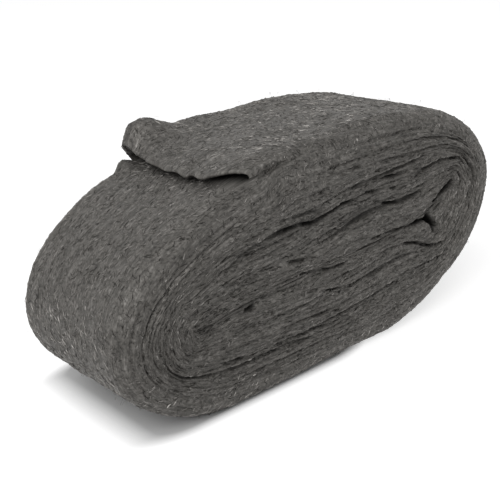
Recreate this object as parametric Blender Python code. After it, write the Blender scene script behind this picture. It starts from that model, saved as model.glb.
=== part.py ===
"""A roll of steel wool: one ribbon of fine steel fibres, wound flat into an oval pad.

The roll lies on its underside. X runs the long way of the roll, Y runs across the ribbon
and Z is up. The origin is on the bench under the middle of the roll. Sizes are in metres.
The turns show as a spiral groove on the two faces, and the ribbon's loose end lies on top.
"""

import math

import bmesh
import bpy
import numpy as np

# The roll as a whole
LENGTH = 0.210
HEIGHT = 0.098
RIBBON_WIDTH = 0.073
RIM_RADIUS = 0.009

# The oval section, seen on the near face
LEFT_NOSE_HEIGHT = 0.037
RIGHT_NOSE_HEIGHT = 0.059
CROWN_FROM_RIGHT = 0.065
FLAT_FROM_LEFT = 0.050
FLAT_LENGTH = 0.076
TOP_LEFT_POWER = 2.12
TOP_RIGHT_POWER = 2.02
LOW_RIGHT_POWER = 1.97
LOW_LEFT_POWER = 1.90

# The core that the ribbon is wound on: an empty slit that turns up at its right end
CORE_FROM_LEFT = 0.036
CORE_FROM_RIGHT = 0.034
CORE_LEFT_HEIGHT = 0.038
CORE_RIGHT_HEIGHT = 0.061
CORE_LEFT_PULL = (0.059, 0.012)
CORE_RIGHT_PULL = (-0.003, -0.019)
CORE_RADIUS = 0.0010
CORE_LIP = 0.0012
CORE_DEPTH = 0.008
NOSE_SHARE = 0.13

# The spiral gap between the turns, counted in turns wound in from the loose end: its turns on
# the round rim and on the flat face, the first gap that shows on the face, and how many do
RIM_TURNS = 1.47
FACE_TURNS = 8
FIRST_GAP = 2
GAPS = 7
GAP_DEPTH = 0.0012
GAP_SHARE = 0.24
TURN_RAGGED = 0.0006

# Where the gap stands open: its start and end in turns wound in, and its depth
OPEN_GAPS = (
    (4.86, 5.165, 0.0050),
    (5.15, 5.36, 0.0030),
    (4.09, 4.22, 0.0028),
    (2.14, 2.34, 0.0020),
    (7.04, 7.20, 0.0022),
    (6.50, 6.66, 0.0022),
    (5.56, 5.70, 0.0018),
    (4.52, 4.66, 0.0018),
    (3.62, 3.84, 0.0022),
)

# Swells that push the turns up or down: inset from the left end, height, push and reach
SWELLS = (
    (0.150, 0.070, -0.0010, 0.011),
    (0.172, 0.073, 0.0018, 0.014),
    (0.118, 0.058, 0.0016, 0.016),
    (0.092, 0.067, -0.0028, 0.020),
    (0.172, 0.034, -0.0030, 0.014),
    (0.140, 0.038, 0.0020, 0.016),
    (0.105, 0.028, -0.0018, 0.022),
)

# Broad dips in the faces: inset from the left end, height, reach along and up, and depth
DISHES = (
    (0.048, 0.043, 0.022, 0.010, 0.0020),
    (0.105, 0.064, 0.034, 0.006, 0.0018),
    (0.165, 0.050, 0.016, 0.012, 0.0012),
)

# Soft lumps of the outer turn: how many round the roll and across the ribbon, their height, and
# how high above the bench they reach it
LUMPS_ROUND = 26
LUMPS_ACROSS = 5
LUMP_RISE = 0.0006
LUMP_CLEARANCE = 0.004
LUMP_SEED = 7002

# The ribbon's loose end, which lies on top with its far corner curled up. Towards the faces it
# starts thin and thickens over a run
END_FROM_LEFT = 0.0540
END_STEP = 0.0015
END_THICKNESS = 0.0042
END_FADE = 0.080
END_RUN = 0.012
END_NEAR_GAP = 0.0015
END_FAR_GAP = 0.0005
END_SLOPE = 0.0050
TUFT_RISE = 0.0095
TUFT_FROM_EDGE = 0.007
TUFT_REACH = 0.0115
TUFT_FROM_FAR = 0.0085
TUFT_WIDTH = 0.0100

# How finely the mesh follows the shape
COLUMNS = 82
QUARTER_STEPS = 60
RIM_STEPS = 3
WALL_ROWS = 9

STEEL_WOOL_COLOUR = (0.095, 0.092, 0.085, 1.0)
STEEL_WOOL_ROUGHNESS = 0.6
STEEL_WOOL_METALLIC = 0.7

LEFT = -LENGTH / 2
RIGHT = LENGTH / 2
FACE = RIBBON_WIDTH / 2


def smooth_step(value):
    """0 below 0, 1 above 1, and a smooth rise between."""
    value = np.clip(value, 0.0, 1.0)
    return value * value * (3 - 2 * value)


def bump(value):
    """1 at 0, falling smoothly to nothing at about 2 on either side."""
    return np.exp(-np.square(value))


def quarter(tip, turn, power):
    """A quarter of an oval, from its nose, tip, to the place where it lies level, turn."""
    angle = np.linspace(0, math.pi / 2, QUARTER_STEPS)
    along = np.cos(angle) ** (2 / power)
    across = np.sin(angle) ** (2 / power)
    x = turn[0] + (tip[0] - turn[0]) * along
    z = tip[1] + (turn[1] - tip[1]) * across
    return np.column_stack([x, z])


def section():
    """The roll's outline, clockwise as the near face shows it, from the left nose and back to it."""
    left_nose = (LEFT, LEFT_NOSE_HEIGHT)
    right_nose = (RIGHT, RIGHT_NOSE_HEIGHT)
    crown = (RIGHT - CROWN_FROM_RIGHT, HEIGHT)
    flat_start = (LEFT + FLAT_FROM_LEFT, 0.0)
    flat_end = (LEFT + FLAT_FROM_LEFT + FLAT_LENGTH, 0.0)
    over = quarter(left_nose, crown, TOP_LEFT_POWER)
    down = quarter(right_nose, crown, TOP_RIGHT_POWER)[::-1]
    under = quarter(right_nose, flat_end, LOW_RIGHT_POWER)
    back = quarter(left_nose, flat_start, LOW_LEFT_POWER)[::-1]
    return np.vstack([over, down[1:], under[1:], back])


def core_line(share):
    """Points of the core's middle line, from its left end at share 0 to its right end at 1."""
    start = np.array([LEFT + CORE_FROM_LEFT, CORE_LEFT_HEIGHT])
    end = np.array([RIGHT - CORE_FROM_RIGHT, CORE_RIGHT_HEIGHT])
    start_pull = start + CORE_LEFT_PULL
    end_pull = end + CORE_RIGHT_PULL
    t = share[:, None]
    return (
        start * (1 - t) ** 3
        + start_pull * 3 * t * (1 - t) ** 2
        + end_pull * 3 * t**2 * (1 - t)
        + end * t**3
    )


def columns():
    """The mesh's columns round the section: outline points, outward normals and core points.

    Column 0 is the edge of the loose end, and the last column is the foot of that edge.
    """
    line = section()
    steps = np.hypot(*np.diff(line, axis=0).T)
    length = np.concatenate([[0.0], np.cumsum(steps)])
    over = QUARTER_STEPS
    edge = np.interp(LEFT + END_FROM_LEFT, line[:over, 0], length[:over])
    place = np.linspace(edge, edge + length[-1] - END_STEP, COLUMNS) % length[-1]

    def at(where):
        where = where % length[-1]
        return np.column_stack([np.interp(where, length, line[:, k]) for k in (0, 1)])

    point = at(place)
    tangent = at(place + RIM_RADIUS / 4) - at(place - RIM_RADIUS / 4)
    tangent /= np.hypot(*tangent.T)[:, None]
    normal = np.column_stack([-tangent[:, 1], tangent[:, 0]])
    nose_to_nose = length[2 * QUARTER_STEPS - 2]
    share = np.where(
        place < nose_to_nose,
        place / nose_to_nose,
        (length[-1] - place) / (length[-1] - nose_to_nose),
    )
    share = np.clip((share - NOSE_SHARE) / (1 - 2 * NOSE_SHARE), 0, 1)
    core = core_line(share) + CORE_RADIUS * normal
    return point, normal, core


def lift(point, y):
    """How far the loose end stands above the section at outline points and a place y."""
    past = point[:, 0] - LEFT - END_FROM_LEFT
    on_top = (point[:, 1] > LEFT_NOSE_HEIGHT) & (past > -END_STEP / 2)
    fade = 1 - smooth_step(past / END_FADE)
    run = smooth_step(past / END_RUN)
    near_open = smooth_step((y + FACE - END_NEAR_GAP) / END_SLOPE)
    far_open = smooth_step((FACE - END_FAR_GAP - y) / END_SLOPE)
    opened = near_open * far_open
    sheet = END_THICKNESS * fade * (opened + (1 - opened) * run)
    across = bump((y - (FACE - TUFT_FROM_FAR)) / TUFT_WIDTH)
    curl = TUFT_RISE * bump((past - TUFT_FROM_EDGE) / TUFT_REACH) * across * opened
    return np.where(on_top, sheet + curl, 0.0)


def lumps(y):
    """How far the outer turn stands out or in, round the roll, at a place y across the ribbon."""
    heights = np.random.default_rng(LUMP_SEED).uniform(-1, 1, (LUMPS_ROUND, LUMPS_ACROSS + 2))
    around = np.arange(COLUMNS) / COLUMNS * LUMPS_ROUND
    across = (y + FACE) / (2 * FACE) * LUMPS_ACROSS
    row = int(across)
    column = around.astype(int)
    following = (column + 1) % LUMPS_ROUND
    mix_round = smooth_step(around - column)
    mix_across = smooth_step(across - row)
    near = heights[column, row] * (1 - mix_round) + heights[following, row] * mix_round
    far = heights[column, row + 1] * (1 - mix_round) + heights[following, row + 1] * mix_round
    return LUMP_RISE * (near * (1 - mix_across) + far * mix_across)


def swell(points, share):
    """Moves points of a face up or down by the swells near them, least at the rim and the core."""
    moved = points.copy()
    for inset, height, push, reach in SWELLS:
        away = (points[:, 0] - (LEFT + inset)) ** 2 + (points[:, 1] - height) ** 2
        moved[:, 1] += push * np.exp(-away / (2 * reach**2)) * np.sqrt(np.sin(math.pi * share))
    return moved


def dip(points):
    """How far the broad dips sink a face at these points."""
    depth = np.zeros(len(points))
    for inset, height, along, up, most in DISHES:
        across = bump((points[:, 0] - LEFT - inset) / along)
        depth += most * across * bump((points[:, 1] - height) / up)
    return depth


def gap_depth(wound):
    """How deep the gap between the turns is, by the turns wound in from the loose end."""
    depth = np.full(len(wound), GAP_DEPTH)
    for start, end, opened in OPEN_GAPS:
        from_middle = (wound - (start + end) / 2) / ((end - start) / 2)
        depth = np.maximum(depth, opened * bump(1.2 * from_middle**2))
    return depth


def ragged(wound, side):
    """How far a turn's edge stands back from the face, which varies slowly along the ribbon."""
    return TURN_RAGGED * (1 + np.sin(2.3 * wound + 1.7 * side))


def face_columns(bm, rims, point, normal, core, side):
    """Vertices of a face, one list for each column, from the rim in to the core's slit."""
    around = np.arange(COLUMNS) / COLUMNS
    outer = point - RIM_RADIUS * normal
    raised = lift(point, side * FACE)[:, None] * normal
    lists = [[rim] for rim in rims]
    for gap in range(FIRST_GAP, FIRST_GAP + GAPS):
        for offset, sunk in ((-GAP_SHARE, 0), (0, 1), (GAP_SHARE, 0)):
            wound = gap + around + offset
            share = (wound - RIM_TURNS) / FACE_TURNS
            inward = share[:, None]
            flat = outer * (1 - inward) + core * inward + raised * (1 - inward) ** 3
            ring = swell(flat, share)
            back = sunk * gap_depth(wound) + ragged(wound, side) + dip(ring)
            for column, (x, z), depth in zip(lists, ring, back):
                column.append(bm.verts.new((x, side * (FACE - depth), z)))
    lip = ragged(RIM_TURNS + FACE_TURNS, side) + dip(core)
    for column, (x, z), depth in zip(lists, core, lip):
        column.append(bm.verts.new((x, side * (FACE - depth - CORE_LIP), z)))
        column.append(bm.verts.new((x, side * (FACE - CORE_DEPTH), z)))
    return lists


def strip(bm, left, right, turned):
    """Faces between two lists of vertices. A vertex that repeats gives a triangle."""
    for k in range(len(left) - 1):
        corners = [left[k], right[k], right[k + 1], left[k + 1]]
        face = list(dict.fromkeys(corners))
        if len(face) > 2:
            bm.faces.new(face[::-1] if turned else face)


def add_face(bm, rims, point, normal, core, side):
    """One face of the roll with its spiral groove. The spiral drops one turn at column 0."""
    lists = face_columns(bm, rims, point, normal, core, side)
    turned = side < 0
    for i in range(COLUMNS - 1):
        strip(bm, lists[i], lists[i + 1], turned)
    per_turn = 3
    last, first = lists[-1], lists[0]
    grooves = 1 + per_turn * GAPS
    left = [last[0]] * per_turn + last
    right = first[:grooves] + [first[grooves]] * per_turn + first[grooves:]
    strip(bm, left, right, turned)
    floor = [column[-1] for column in lists]
    bm.faces.new(floor[::-1] if turned else floor)


def add_wall(bm, point, normal):
    """The outside of the outer turn, with rounded rims. Returns the near and the far rim."""
    angles = np.linspace(0, math.pi / 2, RIM_STEPS + 1)
    straight = FACE - RIM_RADIUS
    near = [(-(straight + RIM_RADIUS * math.cos(a)), RIM_RADIUS * (1 - math.sin(a))) for a in angles]
    middle = [(y, 0.0) for y in np.linspace(-straight, straight, WALL_ROWS + 1)[1:-1]]
    far = [(-y, inset) for y, inset in reversed(near)]
    rings = []
    clear = smooth_step(point[:, 1] / LUMP_CLEARANCE)
    for y, inset in near + middle + far:
        lumpy = lumps(y) * clear * (1 - inset / RIM_RADIUS)
        height = (lift(point, y) + lumpy - inset)[:, None]
        rings.append([bm.verts.new((x, y, z)) for x, z in point + height * normal])
    for ring, following in zip(rings, rings[1:]):
        for i in range(COLUMNS):
            j = (i + 1) % COLUMNS
            bm.faces.new((ring[i], ring[j], following[j], following[i]))
    return rings[0], rings[-1]


def steel_wool():
    """The material of the fibres."""
    material = bpy.data.materials.new("steel_wool")
    material.use_nodes = True
    shader = material.node_tree.nodes["Principled BSDF"]
    shader.inputs["Base Color"].default_value = STEEL_WOOL_COLOUR
    shader.inputs["Roughness"].default_value = STEEL_WOOL_ROUGHNESS
    shader.inputs["Metallic"].default_value = STEEL_WOOL_METALLIC
    return material


def steel_wool_roll():
    """The wound ribbon, as one solid."""
    point, normal, core = columns()
    bm = bmesh.new()
    near_rim, far_rim = add_wall(bm, point, normal)
    add_face(bm, near_rim, point, normal, core, -1)
    add_face(bm, far_rim, point, normal, core, 1)
    mesh = bpy.data.meshes.new("steel_wool_roll")
    bm.to_mesh(mesh)
    bm.free()
    mesh.shade_smooth()
    mesh.materials.append(steel_wool())
    roll = bpy.data.objects.new("steel_wool_roll", mesh)
    bpy.context.scene.collection.objects.link(roll)


def main():
    for old in list(bpy.data.objects):
        bpy.data.objects.remove(old)
    steel_wool_roll()


main()
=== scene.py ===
"""A pad of fine steel wool: one ribbon of fibres wound flat, with its loose end lying on top.

The wound body is one closed mesh that follows the turns of the ribbon. Loose fibres are laid
over it along the ribbon. All lengths are in metres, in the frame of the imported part.
"""

import math
from collections import namedtuple

import bpy
import numpy as np
from bpy.props import FloatProperty, FloatVectorProperty, IntProperty, PointerProperty
from mathutils import Matrix, Vector


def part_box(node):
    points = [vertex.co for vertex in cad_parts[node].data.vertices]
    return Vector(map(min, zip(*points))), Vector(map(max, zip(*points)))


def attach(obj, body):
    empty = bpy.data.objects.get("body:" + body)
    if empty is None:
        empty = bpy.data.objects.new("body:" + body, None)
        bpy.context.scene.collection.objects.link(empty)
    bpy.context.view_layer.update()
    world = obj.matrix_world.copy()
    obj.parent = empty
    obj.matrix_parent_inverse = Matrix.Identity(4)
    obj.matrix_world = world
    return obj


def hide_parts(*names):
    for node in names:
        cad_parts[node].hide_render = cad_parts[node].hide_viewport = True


bl_info = {
    "name": "Steel Wool Pad",
    "version": (1, 0, 0),
    "blender": (4, 5, 0),
    "location": "View3D > Sidebar > Steel Wool",
    "description": "Models a wound pad of steel wool with its loose end and its fibres",
    "category": "Object",
}

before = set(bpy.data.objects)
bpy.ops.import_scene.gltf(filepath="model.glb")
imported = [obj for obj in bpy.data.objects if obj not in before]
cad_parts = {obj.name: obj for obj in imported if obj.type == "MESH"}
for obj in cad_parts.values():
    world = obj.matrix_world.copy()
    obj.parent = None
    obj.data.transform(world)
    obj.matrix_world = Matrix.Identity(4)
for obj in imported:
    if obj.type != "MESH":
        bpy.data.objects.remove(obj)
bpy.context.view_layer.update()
NODE = "steel_wool_roll"
LOW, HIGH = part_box(NODE)

# The oval section of the roll, seen on the near face
LEFT = LOW[0]
RIGHT = HIGH[0]
FACE = (HIGH[1] - LOW[1]) / 2
CROWN_HEIGHT = 0.098
LEFT_NOSE_HEIGHT = 0.037
RIGHT_NOSE_HEIGHT = 0.059
CROWN_FROM_RIGHT = 0.065
FLAT_FROM_LEFT = 0.050
FLAT_LENGTH = 0.076
TOP_LEFT_POWER = 2.12
TOP_RIGHT_POWER = 2.02
LOW_RIGHT_POWER = 1.97
LOW_LEFT_POWER = 1.90
RIM_RADIUS = 0.009
QUARTER_POINTS = 90

# The core, an empty slit that the ribbon is wound round: its ends, the pulls on its curve there, the
# share of the way round that a nose takes, its half width and depth, and how much it narrows
CORE_FROM_LEFT = 0.036
CORE_FROM_RIGHT = 0.034
CORE_LEFT_HEIGHT = 0.038
CORE_RIGHT_HEIGHT = 0.061
CORE_LEFT_PULL = (0.059, 0.012)
CORE_RIGHT_PULL = (-0.003, -0.019)
NOSE_SHARE = 0.13
CORE_HALF_WIDTH = 0.0002
CORE_DEPTH = 0.001
CORE_NARROWS = 0.6

# Creases and openings of the faces: half width, depth, and places as inset from the left end and
# height
CREASES = (
    # The widest gap, above the middle
    (
        0.0012, 0.0028, (0.043, 0.058), (0.049, 0.058), (0.055, 0.061), (0.061, 0.063),
        (0.067, 0.064), (0.073, 0.065), (0.079, 0.065), (0.087, 0.065), (0.092, 0.064),
        (0.097, 0.064), (0.101, 0.066), (0.108, 0.068), (0.114, 0.068), (0.12, 0.069),
    ),
    (0.0008, 0.0018, (0.074, 0.069), (0.08, 0.069), (0.089, 0.069), (0.097, 0.068)),
    # Above it, towards the right end
    (0.001, 0.0022, (0.12, 0.07), (0.127, 0.069), (0.135, 0.069), (0.141, 0.067)),
    (
        0.0011, 0.0026, (0.112, 0.073), (0.123, 0.073), (0.129, 0.074), (0.138, 0.073),
        (0.147, 0.073),
    ),
    (
        0.0009, 0.002, (0.126, 0.065), (0.135, 0.062), (0.145, 0.06), (0.151, 0.061),
        (0.156, 0.062), (0.161, 0.061),
    ),
    (0.0008, 0.0016, (0.124, 0.081), (0.136, 0.081), (0.147, 0.081)),
    (0.0009, 0.0022, (0.089, 0.075), (0.098, 0.076)),
    # The loop round the core's right end
    (
        0.001, 0.0024, (0.147, 0.0683), (0.153, 0.0697), (0.158, 0.0711), (0.1625, 0.0727),
        (0.1683, 0.0736), (0.1786, 0.0727), (0.1841, 0.0712), (0.1887, 0.0685), (0.1926, 0.0649),
        (0.1942, 0.06), (0.1935, 0.0545),
    ),
    # The openings of the core
    (0.002, 0.01, (0.167, 0.056), (0.1698, 0.0575), (0.1725, 0.0593), (0.1755, 0.0609)),
    (0.0025, 0.01, (0.1732, 0.0596), (0.1765, 0.0613)),
    (0.0007, 0.0025, (0.1674, 0.056), (0.1658, 0.0531), (0.1642, 0.0511), (0.1625, 0.0493)),
    (0.0011, 0.007, (0.1522, 0.0483), (0.1563, 0.0482), (0.1597, 0.0484), (0.1625, 0.0491)),
    (0.0021, 0.01, (0.1618, 0.0491), (0.1647, 0.046), (0.1677, 0.0421)),
    (
        0.0009, 0.0022, (0.158, 0.049), (0.148, 0.048), (0.138, 0.049), (0.129, 0.049),
        (0.121, 0.049),
    ),
    # Below the core
    (
        0.001, 0.0026, (0.129, 0.0416), (0.1366, 0.0416), (0.1456, 0.0414), (0.1525, 0.0399),
        (0.1574, 0.0377), (0.1609, 0.0359), (0.1677, 0.0344), (0.1739, 0.035), (0.1772, 0.0387),
        (0.18, 0.0425), (0.1835, 0.0464),
    ),
    (0.0009, 0.0024, (0.078, 0.052), (0.086, 0.051), (0.091, 0.051)),
    (
        0.0009, 0.0024, (0.083, 0.046), (0.091, 0.045), (0.099, 0.043), (0.106, 0.043),
        (0.112, 0.043),
    ),
    (0.0007, 0.0016, (0.105, 0.039), (0.112, 0.039)),
    (0.0008, 0.0018, (0.08, 0.037), (0.091, 0.037), (0.1, 0.034), (0.108, 0.033)),
    (0.0008, 0.0018, (0.09, 0.026), (0.099, 0.025), (0.108, 0.023)),
    (0.0009, 0.0024, (0.067, 0.02), (0.076, 0.02), (0.085, 0.02), (0.091, 0.02), (0.1, 0.019)),
    (0.0009, 0.0022, (0.044, 0.022), (0.049, 0.022), (0.054, 0.021)),
    (0.0007, 0.0014, (0.137, 0.025), (0.149, 0.028), (0.163, 0.028), (0.174, 0.028)),
    # The pit and the smudge near the left end
    (0.0011, 0.0045, (0.057, 0.039), (0.0605, 0.0395)),
    (0.003, 0.0009, (0.033, 0.04), (0.04, 0.037)),
)

# Broad dips in the faces: inset from the left end, height, reach along and up, and depth
DISHES = (
    (0.048, 0.043, 0.022, 0.010, 0.0020),
    (0.105, 0.064, 0.034, 0.006, 0.0018),
    (0.165, 0.050, 0.016, 0.012, 0.0012),
)

# Swells that push the turns up or down: inset from the left end, height, push and reach
SWELLS = (
    (0.150, 0.070, -0.0010, 0.011),
    (0.172, 0.073, 0.0018, 0.014),
    (0.118, 0.058, 0.0016, 0.016),
    (0.092, 0.067, -0.0028, 0.020),
    (0.166, 0.038, -0.0044, 0.012),
    (0.140, 0.038, 0.0020, 0.016),
    (0.105, 0.028, -0.0018, 0.022),
)

# Creases up to this depth are broken by noise, and those twice as deep are whole. The share left of
# a broken crease has a mean, a change by noise, and a least and a most
BROKEN_DEPTH = 0.003
BROKEN_SHARE = (0.8, 0.7, 0.25, 1.2)

# Share of a crease over which it grows shallow towards its ends, what is left of it there, and how
# wide its flat bottom is, 1 being none
CREASE_FADE = 0.15
CREASE_END = 0.15
CREASE_FLAT = 1.5

# Turns of the ribbon on the round rim
RIM_TURNS = 1.47

# The noses' places, as shares of a turn, the share by which the turns stand out less there, and how
# wide the noses are
NOSES = ((0.86, 0.45), (0.36, 0.3))
NOSE_WIDTH = 0.07

# How far a turn stands in or out of line, how that changes with the turns and between the faces, in
# radians, and how far a turn's middle stands above its sides
TURN_RAGGED = 0.0006
TURN_SWAY = (2.3, 1.7)
TURN_CROWN = 0.0007

# The groove of a gap as a share of the common one: its mean, its change by noise, and the most
GROOVE_SHARE = (0.35, 0.95, 1.2)

# The half width of a gap in turns where it is closed, how much wider it is where it stands open, and
# the depth of a gap that is fully open
GAP_WIDTH = (0.10, 0.18)
GAP_OPEN_DEPTH = 0.005

# The lean of the rim, in radians, over which the turns and the crease under the loose end fade in,
# and the shares of the way in to the core over which the waves and the strands do
RIM_FADE = (0.5, 0.3)
FACE_FADE = (0.1, 0.035)

# Gaps between turns that stand open: how fast they close at their ends, where they start and end,
# in turns wound in from the loose end, and their depth
OPEN_GAP_ENDS = 1.2
OPEN_GAPS = (
    (4.92, 5.165, 0.0018),
    (5.15, 5.36, 0.0022),
    (4.09, 4.22, 0.0022),
    (1.11, 1.22, 0.0014),
    (2.14, 2.34, 0.0015),
    (3.15, 3.26, 0.0014),
    (7.04, 7.20, 0.0022),
    (6.50, 6.66, 0.0022),
    (5.56, 5.70, 0.0018),
    (4.52, 4.66, 0.0018),
    (3.62, 3.84, 0.0022),
    (2.60, 2.74, 0.0014),
    (0.76, 0.94, 0.0010),
    (1.78, 1.96, 0.0012),
    (2.82, 2.93, 0.0010),
)

# The ribbon's loose end. Its edge lies on top of the roll, is ragged, and stands back near the near
# face and at the curled corner, and all this eases out along the turn. Behind the edge the end
# thickens, and then fades into the roll. Near the faces it lies close and rises over a run, and the
# fold's columns gather at its edge. Elsewhere a ragged gap opens under its round tip, and a fold runs
# in below
EDGE_FROM_LEFT = 0.0530
EDGE_NEAR_TURN = 0.0120
EDGE_NEAR_WIDTH = 0.0180
EDGE_TUFT_TURN = 0.0045
EDGE_RAGGED = 0.0006
EDGE_EASE = 0.05
END_RUN = 0.012
END_FADE = 0.080
END_NEAR_GAP = 0.0015
END_FAR_GAP = 0.0005
END_SLOPE = 0.0050
END_BULGE = 0.0016
END_THICKEN = 0.018
END_THIN = 0.5
GAP_REACH = 0.012
GAP_RAGGED = 0.5
LEAST_GAP = 0.0002
CLOSED_GATHER = 0.0015
FOLD_DEPTH = 0.0075
FOLD_POWER = 0.7
# The depth that the round tip's underside counts as, for the felt's painted shade
TIP_SHADE = 0.0040

# The crease under the loose end on the rims: depth, half width, place below the end and length
END_CREASE = 0.0028
END_CREASE_WIDTH = 0.0009
END_CREASE_PLACE = 0.0004
END_CREASE_LENGTH = 0.032

# The curled corner: its place across the ribbon and from the edge, its lean over the turn below,
# how much wider its gap is, and its fluff
TUFT_PLACE = 0.0280
TUFT_WIDTH = 0.0100
TUFT_FROM_EDGE = 0.0075
TUFT_REACH = 0.0095
TUFT_LEAN = 0.0050
TUFT_LEAN_FROM_EDGE = 0.004
TUFT_LEAN_REACH = 0.009
TUFT_LEAN_POWER = 1.5
TUFT_GAP = 0.0014
TUFT_FLUFF = 0.0012
TUFT_FLUFF_REACH = 0.015

# The lip of the turn below the curled corner: its rise, and its middle and reach across the ribbon,
# from the corner's middle, and along it, from the edge
LIP_RISE = 0.0036
LIP_ACROSS = (0.003, 0.007)
LIP_ALONG = (0.0035, 0.0035)

# Rises of the loose end's top: from the edge, y, rise, and reach along and across the ribbon
CRESTS = (
    (0.029, 0.029, 0.0022, 0.014, 0.014),
    (0.068, 0.026, 0.0018, 0.030, 0.020),
)

# Height over the floor up to which the wall's rises are held back
FLOOR_EASE = 0.004

# A calmer place on the faces, round the core's left end: inset, height, reach, and how much calmer
CALM = (0.042, 0.038, 0.016, 0.55)

# Layers of noise, each with its share, its seed and its cells round the roll and across: the swells
# of the wall, the waves of the turns, the relief within a turn, and the patches of tone of the fibres
LUMP_NOISE = ((1.0, 2, (26, 5)), (0.35, 3, (70, 16)), (0.25, 4, (170, 40)))
WAVE_NOISE = ((0.016, 11, (19, 6)), (0.008, 15, (47, 12)))
STRAND_NOISE = ((0.55, 31, (36, 26)), (0.75, 33, (70, 52)))
PATCH_NOISE = ((0.16, 43, (90, 150)), (0.16, 44, (40, 260)))

# How finely the body is meshed
COLUMNS_ROUND = 330
COLUMNS_FOLD = 12
COLUMNS_TIP = 8
WALL_ROWS = 36
RIM_ROWS = 22
FACE_RINGS = 84
SLIT_RINGS = 2

# Rings inside the rim that belong to the wall's fibres, and rings round the core without fibres
WALL_RINGS = 3
CORE_RINGS = 2

# Rounds of smoothing of the surface's outward directions, and the least length of its steps
SMOOTH_ROUNDS = 4
LEAST_PACE = 1e-4

# A strand's sides, its points between the tips, and how bluntly it tapers, less than 1 being blunt
STRAND_SIDES = 3
STRAND_STEPS = 2
STRAND_TAPER = 0.35

# How far a fibre's middle line lies below the body's surface where it touches
FIBRE_SINK = 0.0001

# How much the headings of neighbours drift together, and how unlike the fibres' lengths are
FLOW_SHARE = 1.2
FLOW_CELLS = (40, 60)
LENGTH_SPREAD = 0.35

# How a fibre bends and sways along its path, in radians a step, and how it arches off the surface:
# the least and the most share of its layer's lift, and how blunt the arch is
BEND_SPREAD = 0.10
SWAY = 0.16
SWAY_STEP = 1.9
ARCH_SHARE = (0.1, 1.0)
ARCH_POWER = 0.8

# The depth in an opening of a face past which a fibre is left out, the mean depth past which it is
# darker by painted shade, the run from there to the darkest, the tone it loses there to painted
# shade, and the middle tone of all
FIBRE_DEEPEST = 0.0030
FIBRE_PAINTED_SHADE_FROM = 0.0014
FIBRE_PAINTED_SHADE_RUN = 0.0016
FIBRE_PAINTED_SHADE = 0.5
FIBRE_TONE = 0.5

# Layers of fibres: each has its name, where it lies, its spread of headings in radians, the share
# laid at random, how far its fibres arch off the surface, their contrast, their thickness, how uneven
# that is, and a seed
Layer = namedtuple("Layer", "name region spread wild lift contrast thickness uneven seed")
LAYERS = (
    Layer("wall_fibres_lower", "wall", 0.50, 0.25, 0.0001, 0.60, 1.0, 0.3, 0),
    Layer("wall_fibres_upper", "wall", 0.80, 0.40, 0.0003, 0.60, 1.0, 0.3, 1),
    Layer("far_face_fibres", "far", 0.10, 0.10, 0.0003, 0.36, 1.0, 0.3, 2),
    Layer("near_face_fibres", "near", 0.10, 0.10, 0.0003, 0.36, 1.0, 0.3, 3),
)
STRAYS = Layer("stray_fibres", "all", 0.8, 0.4, 0.0032, 0.48, 0.45, 0.2, 50)

# The seed of all noise and all fibres
SEED = 7

# The felt's streaks, each with its lengths along and across the ribbon and its detail, how rough they
# all are, and their shares
COARSE_STREAKS = (0.014, 0.0022, 3.0)
FINE_STREAKS = (0.0050, 0.00055, 2.0)
GRAIN = (0.0013, 0.0011, 2.0)
STREAK_ROUGHNESS = 0.6
FINE_SHARE = 0.5
GRAIN_SHARE = 0.4

# Places of shade, steel and glint in the colours of the felt and of the fibres
FELT_STOPS = (0.34, 0.52, 0.72)
FIBRE_STOPS = (0.24, 0.50, 0.78)

# The felt's roughness from its hollows to its high streaks, and its relief's strength and height
FELT_ROUGHNESS = (0.75, 0.45)
FELT_RELIEF = (0.9, 0.0009)
FELT_METALLIC = 0.6

# Painted shade of the felt: the depths in an opening, or in the fold under the loose end, over which
# the felt darkens, and how much of its colour is left there
PAINTED_SHADE_DEPTHS = (0.0021, 0.0048)
PAINTED_SHADE_LEFT = (1.0, 0.15)

# The fibres' finish: cells of their noise in a metre, its share, and their roughness
FIBRE_NOISE = 1300.0
FIBRE_NOISE_SHARE = 0.42
FIBRE_METALLIC = 0.75
FIBRE_ROUGHNESS = 0.48

# The photograph's view of the roll
TARGET = Vector((0.0, 0.0, 0.0368))
AZIMUTH = math.radians(-41.74)
ELEVATION = math.radians(21.39)
DISTANCE = 0.3801
ROLL = math.radians(-2.165)
LENS = 63.4
SHIFT = (-0.058, 0.0173)

# The floor's painted shadow under the roll, a patch where the floor does not glow to the camera, so
# that it shows darker round the real shadow: the middle and half the size of the rectangle in it,
# how much narrower its edge is along Y, and how far from the rectangle the edge starts and ends
PAINTED_SHADOW_MIDDLE = (-0.037, 0.006, 0.0)
PAINTED_SHADOW_HALF = (0.0345, 0.0312, 0.0)
PAINTED_SHADOW_NARROW = (1.0, 2.4, 1.0)
PAINTED_SHADOW_EDGE = (0.015, 0.0275)

# The floor's width and roughness, and how strongly it glows to the camera outside the painted shadow
FLOOR_SIZE = 6.0
FLOOR_ROUGHNESS = 0.9
FLOOR_GLOW = 0.62

# The world's light, and the soft square lamps, each with its name, place, size and power
WORLD_STRENGTH = 0.41
LAMPS = (
    ("key", (-2.0, -1.2, 2.2), 2.0, 51.5),
    ("fill", (1.4, -2.6, 1.4), 2.4, 4.0),
    ("back", (0.6, 2.4, 2.0), 2.0, 2.0),
)


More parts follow.
